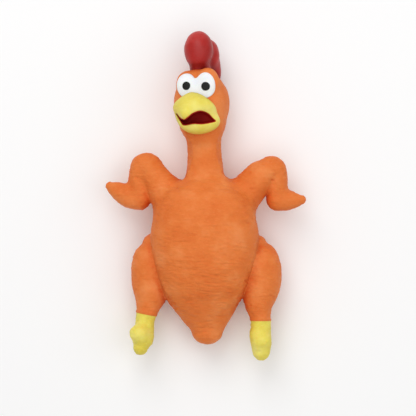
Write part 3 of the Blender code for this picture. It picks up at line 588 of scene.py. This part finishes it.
WING_OUT = {"right": Vector((-0.671, 0.741, 0.0)), "left": Vector((0.778, 0.628, 0.0))}
LEG_OUT = {"right": Vector((-0.968, -0.249, 0.0)), "left": Vector((0.965, -0.262, 0.0))}
NECK_CUT, HEAD_CUT = NECK.y - 9.0, HEAD.y - 4.0
WING_CUT, HIP_CUT = -1.0, 1.0
BELLY_Z = 57.0
WAIST = 24.0           # wings are cut above this y and legs below it
SPINE = 8.0            # half width of the strip that belongs to neither side
NECK_REACH = 24.0      # half widths within which skin belongs to the neck and to the head
HEAD_REACH = 34.0
SOCK = {
    "right": (ANKLE["right"] + Vector((0.0, 5.0, 0.0)), Vector((0.2, 1.0, 0.0))),
    "left": (ANKLE["left"] + Vector((0.0, 2.4, 0.0)), Vector((0.0, 1.0, 0.0))),
}


def wing_side(p, side):
    """How far a point is out past a shoulder's cut, mm."""
    return (p - np.array(SHOULDER[side])) @ np.array(WING_OUT[side]) - WING_CUT


def hip_side(p, side):
    return (p - np.array(HIP[side])) @ np.array(LEG_OUT[side]) - HIP_CUT


def regions(centres):
    """The name of the piece that each face belongs to."""
    names = np.full(len(centres), "torso", object)
    x, y, z = centres.T
    for side, sign in (("right", -1), ("left", 1)):
        outer = x * sign > SPINE
        by_neck = (y > NECK_CUT) & (x * sign < NECK_REACH)
        names[outer & (y > WAIST) & (wing_side(centres, side) > 0) & ~by_neck] = f"wing_{side}"
        low = outer & (y < WAIST) & (hip_side(centres, side) > 0)
        names[low] = f"leg_{side}"
        point, normal = SOCK[side]
        names[low & ((centres - np.array(point)) @ np.array(normal) < 0)] = f"foot_{side}"
    middle = np.abs(x) < NECK_REACH
    names[middle & (y > NECK_CUT)] = "neck"
    names[(np.abs(x) < HEAD_REACH) & (y > HEAD_CUT)] = "head"
    names[(names == "torso") & (z > BELLY_Z)] = "belly"
    return names


def cut_planes():
    def near_wing(sign):
        return lambda c: c.x * sign > SPINE and WAIST < c.y < 85

    def near_leg(sign):
        return lambda c: c.x * sign > SPINE and c.y < 30

    planes = [
        ((0, NECK_CUT, 0), (0, 1, 0), lambda c: abs(c.x) < 26 and 40 < c.y < 70),
        ((0, HEAD_CUT, 0), (0, 1, 0), lambda c: abs(c.x) < 34 and 75 < c.y < 100),
        ((0, 0, BELLY_Z), (0, 0, 1), lambda c: c.y < NECK_CUT + 4 and c.z > 40),
    ]
    for side, sign in (("right", -1), ("left", 1)):
        planes.append((SHOULDER[side] + WING_OUT[side] * WING_CUT, WING_OUT[side], near_wing(sign)))
        planes.append((HIP[side] + LEG_OUT[side] * HIP_CUT, LEG_OUT[side], near_leg(sign)))
        planes.append((*SOCK[side], lambda c, side=side, sign=sign: c.x * sign > 30 and c.y < -50))
    return planes


# ---------------------------------------------------------------- materials

def new_material(name):
    made = bpy.data.materials.new(name)
    made.use_nodes = True
    tree = made.node_tree
    shader = tree.nodes["Principled BSDF"]
    return made, tree, shader


def node(tree, kind, inputs=None, **settings):
    made = tree.nodes.new(kind)
    for key, value in settings.items():
        setattr(made, key, value)
    for key, value in (inputs or {}).items():
        if isinstance(value, bpy.types.NodeSocket):
            tree.links.new(value, made.inputs[key])
        else:
            made.inputs[key].default_value = value
    return made


def stretched(tree, scale):
    """Object positions scaled per axis; noise on it is stretched the other way."""
    place = node(tree, "ShaderNodeTexCoord").outputs["Object"]
    return node(tree, "ShaderNodeMapping", {"Vector": place, "Scale": scale}).outputs["Vector"]


def ramp(tree, factor, stops):
    made = node(tree, "ShaderNodeValToRGB", {"Fac": factor})
    elements = made.color_ramp.elements
    elements[0].position, elements[0].color = stops[0][0], (*stops[0][1], 1.0)
    elements[1].position, elements[1].color = stops[-1][0], (*stops[-1][1], 1.0)
    for position, colour in stops[1:-1]:
        elements.new(position).color = (*colour, 1.0)
    return made.outputs["Color"]


def srgb(red, green, blue):
    """Linear colour of an 8-bit display colour."""
    def linear(c):
        c /= 255.0
        return c / 12.92 if c <= 0.04045 else ((c + 0.055) / 1.055) ** 2.4
    return linear(red), linear(green), linear(blue)


def latex(name, deep, mid, light, roughness, painted_shade, glow, bump, wear=0.5):
    """Painted latex: mottled colour, painted shade (darker and richer) mixed into hollows by ambient occlusion,
    chalky on raised places.
    """
    made, tree, shader = new_material(name)
    broad = node(tree, "ShaderNodeTexNoise", {"Vector": stretched(tree, (1, 1, 1)), "Scale": 38.0,
                                              "Detail": 5.0, "Roughness": 0.62}).outputs["Fac"]
    colour = ramp(tree, broad, [(0.32, deep), (0.5, mid), (0.68, light)])
    dust = node(tree, "ShaderNodeTexNoise", {"Vector": stretched(tree, (1, 2.6, 1)), "Scale": 420.0,
                                             "Detail": 4.0}).outputs["Fac"]
    specks = node(tree, "ShaderNodeMapRange", {"Value": dust, "From Min": 0.56, "From Max": 0.74,
                                               "To Max": wear}).outputs["Result"]
    colour = node(tree, "ShaderNodeMix", {"Factor": specks, 6: colour, 7: (*light, 1.0)},
                  data_type="RGBA").outputs[2]
    # Painted shade: ambient occlusion mixes the shade colour into creases, recesses and under overhangs, where
    # shade falls.
    hollow = node(tree, "ShaderNodeAmbientOcclusion", {"Distance": 0.018}, samples=8).outputs["AO"]
    shade = node(tree, "ShaderNodeMapRange", {"Value": hollow, "From Min": 0.35, "From Max": 0.9,
                                              "To Min": 1.0, "To Max": 0.0}).outputs["Result"]
    colour = node(tree, "ShaderNodeMix", {"Factor": shade, 6: colour, 7: (*painted_shade, 1.0)},
                  data_type="RGBA").outputs[2]
    tree.links.new(colour, shader.inputs["Base Color"])
    rough = node(tree, "ShaderNodeMapRange", {"Value": dust, "To Min": roughness - 0.08,
                                              "To Max": roughness + 0.08}).outputs["Result"]
    tree.links.new(rough, shader.inputs["Roughness"])
    shader.inputs["Subsurface Weight"].default_value = glow
    shader.inputs["Subsurface Radius"].default_value = (1.0, 0.35, 0.12)
    shader.inputs["Subsurface Scale"].default_value = 0.002
    shader.inputs["Specular IOR Level"].default_value = 0.28
    ripples = node(tree, "ShaderNodeTexNoise", {"Vector": stretched(tree, (0.16, 1, 0.16)), "Scale": 900.0,
                                                "Detail": 3.0}).outputs["Fac"]
    pores = node(tree, "ShaderNodeTexNoise", {"Vector": stretched(tree, (1, 1, 1)), "Scale": 1500.0,
                                              "Detail": 3.0}).outputs["Fac"]
    height = node(tree, "ShaderNodeMath", {0: ripples, 1: pores}, operation="ADD").outputs[0]
    bumped = node(tree, "ShaderNodeBump", {"Height": height, "Strength": bump, "Distance": 0.0005})
    tree.links.new(bumped.outputs["Normal"], shader.inputs["Normal"])
    return made


def plastic(name, colour, roughness, see_through=0.0):
    made, tree, shader = new_material(name)
    cloud = node(tree, "ShaderNodeTexNoise", {"Vector": stretched(tree, (1, 1, 1)), "Scale": 160.0,
                                              "Detail": 3.0}).outputs["Fac"]
    darker = tuple(c * 0.86 for c in colour)
    tree.links.new(ramp(tree, cloud, [(0.35, darker), (0.65, colour)]), shader.inputs["Base Color"])
    shader.inputs["Roughness"].default_value = roughness
    shader.inputs["Subsurface Weight"].default_value = see_through
    shader.inputs["Subsurface Scale"].default_value = 0.003
    bumped = node(tree, "ShaderNodeBump", {"Height": cloud, "Strength": 0.2, "Distance": 0.0003})
    tree.links.new(bumped.outputs["Normal"], shader.inputs["Normal"])
    return made


def fibre(name):
    """Matted white polyester fibre."""
    made, tree, shader = new_material(name)
    strands = node(tree, "ShaderNodeTexNoise", {"Vector": stretched(tree, (1, 0.2, 1)), "Scale": 700.0,
                                                "Detail": 6.0, "Distortion": 2.0}).outputs["Fac"]
    tree.links.new(ramp(tree, strands, [(0.3, srgb(206, 206, 200)), (0.7, srgb(244, 244, 240))]),
                   shader.inputs["Base Color"])
    shader.inputs["Roughness"].default_value = 0.95
    shader.inputs["Sheen Weight"].default_value = 0.4
    bumped = node(tree, "ShaderNodeBump", {"Height": strands, "Strength": 0.8, "Distance": 0.001})
    tree.links.new(bumped.outputs["Normal"], shader.inputs["Normal"])
    return made


# The fifth colour of each latex finish is painted shade, mixed into its hollows by ambient occlusion.
ORANGE = latex("orange_latex", srgb(226, 113, 42), srgb(233, 125, 54), srgb(240, 142, 76), 0.62,
               srgb(212, 80, 12), 0.18, 1.0)
YELLOW = latex("yellow_latex", srgb(224, 203, 72), srgb(234, 217, 90), srgb(242, 229, 122), 0.55,
               srgb(200, 166, 40), 0.16, 0.5)
RED = latex("red_latex", srgb(158, 30, 26), srgb(174, 38, 34), srgb(190, 56, 52), 0.36,
            srgb(104, 12, 10), 0.12, 0.25, 0.3)
WHITE = latex("white_latex", srgb(232, 235, 238), srgb(240, 242, 245), srgb(246, 248, 250), 0.55,
              srgb(180, 180, 180), 0.1, 0.2)
BLACK = latex("black_latex", srgb(4, 4, 5), srgb(6, 6, 7), srgb(12, 12, 14), 0.5,
              srgb(3, 3, 3), 0.0, 0.3, 0.2)
MAROON = latex("maroon_latex", srgb(160, 10, 4), srgb(176, 14, 6), srgb(184, 24, 12), 0.7,
               srgb(158, 8, 3), 0.0, 0.3)
FIBRE = fibre("fibre_stuffing")
PLASTIC = plastic("squeaker_plastic", srgb(228, 232, 236), 0.4, 0.3)
FILM = plastic("reed_film", srgb(236, 234, 220), 0.3)


def dress(obj, material):
    obj.data.materials.clear()
    obj.data.materials.append(material)
    return obj


# ---------------------------------------------------------------- the skin

def in_mm(obj):
    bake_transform(obj)


def settle(obj, region):
    """Puts a torso or belly piece of skin or stuffing on the torso's body; other pieces only get their transform
    baked in.
    """
    if region in ("torso", "belly"):
        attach(obj, "torso")
        if region == "belly":
            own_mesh(obj)
    elif region == "neck":
        in_mm(obj)
    elif region == "head":
        in_mm(obj)
    elif region.startswith("wing"):
        in_mm(obj)
    elif region.startswith("leg"):
        in_mm(obj)
    else:
        in_mm(obj)


SKIN_NODES = {
    "torso": ["torso_skin"], "neck": ["neck_skin"], "head": ["head_skin"],
    "wing_right": ["wing_skin_right"], "wing_left": ["wing_skin_left"],
    "leg_right": ["leg_skin_right"], "leg_left": ["leg_skin_left"],
    "foot_right": ["foot_right"], "foot_left": ["foot_left"],
}


def build_skin(field):
    points, faces = field.surface()
    points = relax(points, faces, 2)
    normals = vertex_normals(points, faces)
    points = wrinkle(points, normals)
    points, faces = cut_mesh(points, faces, cut_planes())
    normals = vertex_normals(points, faces)
    names = regions(points[faces].mean(axis=1))
    for region in ("torso", "belly", "neck", "head", "wing_right", "wing_left",
                   "leg_right", "leg_left", "foot_right", "foot_left"):
        obj = shell(f"{region}_latex", points, faces[names == region], normals)
        if region.startswith("foot"):
            dress(obj, YELLOW)
        else:
            dress(obj, ORANGE)
        settle(obj, region)
        if region in SKIN_NODES:
            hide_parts(*SKIN_NODES[region])


# ---------------------------------------------------------------- stuffing

STUFFING_DEPTH = LATEX + 1.4
STUFFING_GAP = 0.3
SOCK_GAP = 4.0         # between a leg's fibre and its foot
POCKET_ROOM = 1.5


def limb_spaces(x, y):
    """For each limb, a field that is below zero on the limb's side of its cuts."""
    upper = np.maximum(NECK_CUT - y, np.abs(x) - HEAD_REACH)
    spaces = {"neck": np.maximum(upper, y - HEAD_CUT), "head": np.maximum(upper, HEAD_CUT - y)}
    for side, sign in (("right", -1.0), ("left", 1.0)):
        outer = SPINE - sign * x
        by_neck = np.maximum(NECK_CUT - y, sign * x - NECK_REACH)
        shoulder, out = SHOULDER[side], WING_OUT[side]
        past = (x - shoulder.x) * out.x + (y - shoulder.y) * out.y - WING_CUT
        spaces[f"wing_{side}"] = np.maximum(np.maximum(-past, WAIST - y), np.maximum(outer, -by_neck))
        hip, out = HIP[side], LEG_OUT[side]
        past = (x - hip.x) * out.x + (y - hip.y) * out.y - HIP_CUT
        spaces[f"leg_{side}"] = np.maximum(np.maximum(-past, y - WAIST), outer)
    return spaces


def build_stuffing(body):
    """Lumpy fibre inside every limb, cut where the skin is cut, with a pocket for the squeaker."""
    step = 2 if FINE else 1
    fill = Field(body.low, body.low, body.voxel * step)
    fill.shape = body.values[::step, ::step, ::step].shape
    x, y, z = fill.axes()
    low, high = box_mm("squeaker_base")
    middle, radius = (low + high) / 2, (high.x - low.x) / 2
    top = box_mm("squeaker_top")[1].z
    pocket = np.maximum(
        np.sqrt((x - middle.x) ** 2 + (y - middle.y) ** 2) - radius - POCKET_ROOM, z - top - POCKET_ROOM
    )
    inner = np.maximum(body.values[::step, ::step, ::step] + STUFFING_DEPTH, -pocket)
    spaces = limb_spaces(x, y)
    trunk = inner
    for space in spaces.values():
        trunk = soft_max(trunk, STUFFING_GAP - space, 1.0)
    blocks = {name: soft_max(inner, space + STUFFING_GAP, 1.0) for name, space in spaces.items()}
    for side in ("right", "left"):
        point, normal = SOCK[side]
        past_sock = (point.x - x) * normal.x + (point.y - y) * normal.y
        blocks[f"leg_{side}"] = soft_max(blocks[f"leg_{side}"], past_sock + SOCK_GAP, 1.0)
    blocks["torso"] = soft_max(trunk, z - BELLY_Z + STUFFING_GAP, 1.0)
    blocks["belly"] = soft_max(trunk, BELLY_Z - z + STUFFING_GAP, 1.0)
    for name, values in blocks.items():
        fill.values = values.astype(np.float32)
        points, faces = fill.surface()
        points = relax(points, faces, 1)
        normals = vertex_normals(points, faces)
        points = points + normals * (noise_at(points, (7.0, 7.0, 7.0), 11) * 0.5 - 0.3)[:, None]
        obj = mesh_object(f"{name}_fibre", points, faces)
        dress(obj, FIBRE)
        settle(obj, name)
        if name != "belly":
            part, _, side = name.partition("_")
            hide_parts(f"{part}_stuffing_{side}" if side else f"{part}_stuffing")


# ---------------------------------------------------------------- the face

def face_piece(name, field, values, material, nodes, rounds=1):
    """A closed piece on the head, meshed from a field of its own."""
    field.values = values
    points, faces = field.surface()
    points = relax(points, faces, rounds)
    obj = mesh_object(name, points, faces)
    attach(obj, "head")
    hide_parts(*nodes)
    return dress(obj, material)


def build_face():
    middle = np.array(FACE)
    eyes = Field(middle + (-34, 2, -4), middle + (28, 40, 40), FACE_VOXEL)
    axes = eyes.face_axes()
    u, v, w = axes
    head = skull(eyes)
    in_front = EYE_FRONT - w

    def patch(places):
        flat = None
        for (across, up), radii in places:
            wide, tall = radii if isinstance(radii, tuple) else (radii, radii)
            reach = np.sqrt(((u - across) / wide) ** 2 + ((v - up) / tall) ** 2)
            ring = (reach - 1.0) * min(wide, tall)
            flat = ring if flat is None else soft_min(flat, ring, 1.2)
        return flat

    whites = soft_max(np.abs(head + 0.2) - 1.0, soft_max(patch(WHITES.values()), in_front, 0.5), 0.8)
    face_piece("eye_whites", eyes, whites, WHITE, ["eye_white_left", "eye_white_right"])
    for side, place in PUPILS.items():
        pupil = soft_max(np.abs(head - 0.5) - 0.8, soft_max(patch([place]), in_front, 0.5), 0.6)
        face_piece(f"pupil_{side}_dot", eyes, pupil, BLACK, [f"pupil_{side}"])

    beak = Field(middle + (-42, -32, -2), middle + (34, 22, 56), FACE_VOXEL)
    axes = beak.face_axes()
    head = skull(beak)
    hollow = mouth_hollow(beak, axes)
    domes = grown(beak, BEAK_DOMES, axes)
    domes = soft_max(domes, outline_distance(beak, BEAK_OUTLINE), 3.0)
    outside = soft_min(domes, head, 1.0)
    solid = soft_max(domes, soft_max(-hollow, -(head + 1.6), 0.6), 1.0)
    face_piece("beak_latex", beak, solid, YELLOW, ["upper_beak", "lower_beak"])
    lining = soft_max(np.abs(hollow - 0.3) - 1.1, outside + 0.9, 0.4)
    face_piece("mouth_skin", beak, lining, MAROON, ["mouth_lining"])


COMB_FRONT = ((-0.2, 52.6, 8.0), (13.4, 17.2, 12.8))
COMB_REAR = ((3.4, 47.6, -9.0), (10.6, 15.4, 11.0))
COMB_RIDGE = [((4.0, 33.0, -16.0), (9.6, 15.0, 8.0)), ((3.4, 16.0, -22.0), (7.4, 16.0, 6.0))]


def build_comb():
    middle = np.array(FACE)
    field = Field(middle + (-22, -6, -36), middle + (30, 76, 28), FACE_VOXEL)
    axes = field.face_axes()
    head = skull(field)
    front = field.egg(*COMB_FRONT, axes=axes)
    stalk = field.egg((0.0, 34.0, 4.0), (9.6, 10.0, 8.4), axes=axes)
    rear = field.egg(*COMB_REAR, axes=axes)
    for centre, radii in COMB_RIDGE:
        rear = soft_min(rear, field.egg(centre, radii, axes=axes), 5.0)
    comb = soft_min(soft_min(front, stalk, 5.0), rear, 4.0)
    field.values = soft_max(comb, -(head + 1.6), 0.6)
    points, faces = field.surface()
    points = relax(points, faces, 2)
    normals = vertex_normals(points, faces)
    points = points + normals * (noise_at(points, (9.0, 7.0, 9.0), 8) * 0.35)[:, None]
    obj = mesh_object("comb_latex", points, faces)
    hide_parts("comb")
    dress(obj, RED)
    in_mm(obj)


def build_bellows():
    """The squeaker's bellows once more, as a mesh of its own on the torso's body."""
    seen = frame["nodes"]["squeaker_bellows"]
    obj = bpy.data.objects.new("bellows_film", seen.data.copy())
    bpy.context.scene.collection.objects.link(obj)
    obj.matrix_world = seen.matrix_world.copy()
    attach(obj, "torso")
    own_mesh(obj)
    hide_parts("squeaker_bellows")
    dress(obj, PLASTIC)


def dress_frame():
    """Finishes for the CAD pieces that stay as they are."""
    finishes = {"squeaker_plastic": PLASTIC, "reed_film": FILM, "orange_latex": ORANGE}
    for node_name, obj in frame["nodes"].items():
        if obj.hide_render:
            continue
        slot = NODE_SLOTS[node_name]
        for place in obj.material_slots:
            place.material = finishes[slot]


NODE_SLOTS = {row["node"]: row["material_slot"] for row in frame["record"]["subparts"]}

# ---------------------------------------------------------------- stage

FLOOR_GAP = 0.0006     # m


def studio():
    mesh = bpy.data.meshes.new("floor")
    reach = 3.0
    mesh.from_pydata([(-reach, -reach, 0), (reach, -reach, 0), (reach, reach, 0), (-reach, reach, 0)], [],
                     [(0, 1, 2, 3)])
    floor = bpy.data.objects.new("floor", mesh)
    floor.location.z = -FLOOR_GAP
    bpy.context.scene.collection.objects.link(floor)
    pale, _, shader = new_material("pale_floor")
    shader.inputs["Base Color"].default_value = (0.96, 0.96, 0.96, 1.0)
    shader.inputs["Roughness"].default_value = 0.9
    mesh.materials.append(pale)
    lamp("key", (-0.35, 1.2, 1.4), 1.4, 11.0)
    lamp("fill", (1.0, 0.1, 1.2), 1.4, 3.0)
    lamp("front", (-0.1, -0.1, 1.9), 2.2, 13.0)
    world = bpy.data.worlds.new("studio")
    bpy.context.scene.world = world
    world.use_nodes = True
    background = world.node_tree.nodes["Background"]
    background.inputs["Color"].default_value = (1.0, 1.0, 1.0, 1.0)
    background.inputs["Strength"].default_value = 0.45


def lamp(name, place, size, power):
    light = bpy.data.lights.new(name, "AREA")
    light.shape = "DISK"
    light.size = size
    light.energy = power
    obj = bpy.data.objects.new(name, light)
    bpy.context.scene.collection.objects.link(obj)
    obj.location = place
    obj.rotation_mode = "QUATERNION"
    obj.rotation_quaternion = (Vector((0, 0, 0.03)) - Vector(place)).to_track_quat("-Z", "Y")


CAMERA_UP = 4.0                       # m, above the belly
MIDDLE_UP = 0.036                     # m, the height that the width of the view is measured at
VIEW_WIDTH = 0.38272                  # m
VIEW_MIDDLE = (0.00276, 0.02944)      # m


def camera():
    data = bpy.data.cameras.new("camera")
    obj = bpy.data.objects.new("camera", data)
    bpy.context.scene.collection.objects.link(obj)
    bpy.context.scene.camera = obj
    data.sensor_width = 36.0
    data.lens = data.sensor_width * (CAMERA_UP - MIDDLE_UP) / VIEW_WIDTH
    obj.location = (*VIEW_MIDDLE, CAMERA_UP)
    data.clip_start, data.clip_end = 0.5, 20.0


studio()
camera()
bpy.context.scene.view_settings.view_transform = "Standard"
body = body_field()
build_skin(body)
build_stuffing(body)
build_face()
build_comb()
build_bellows()
dress_frame()
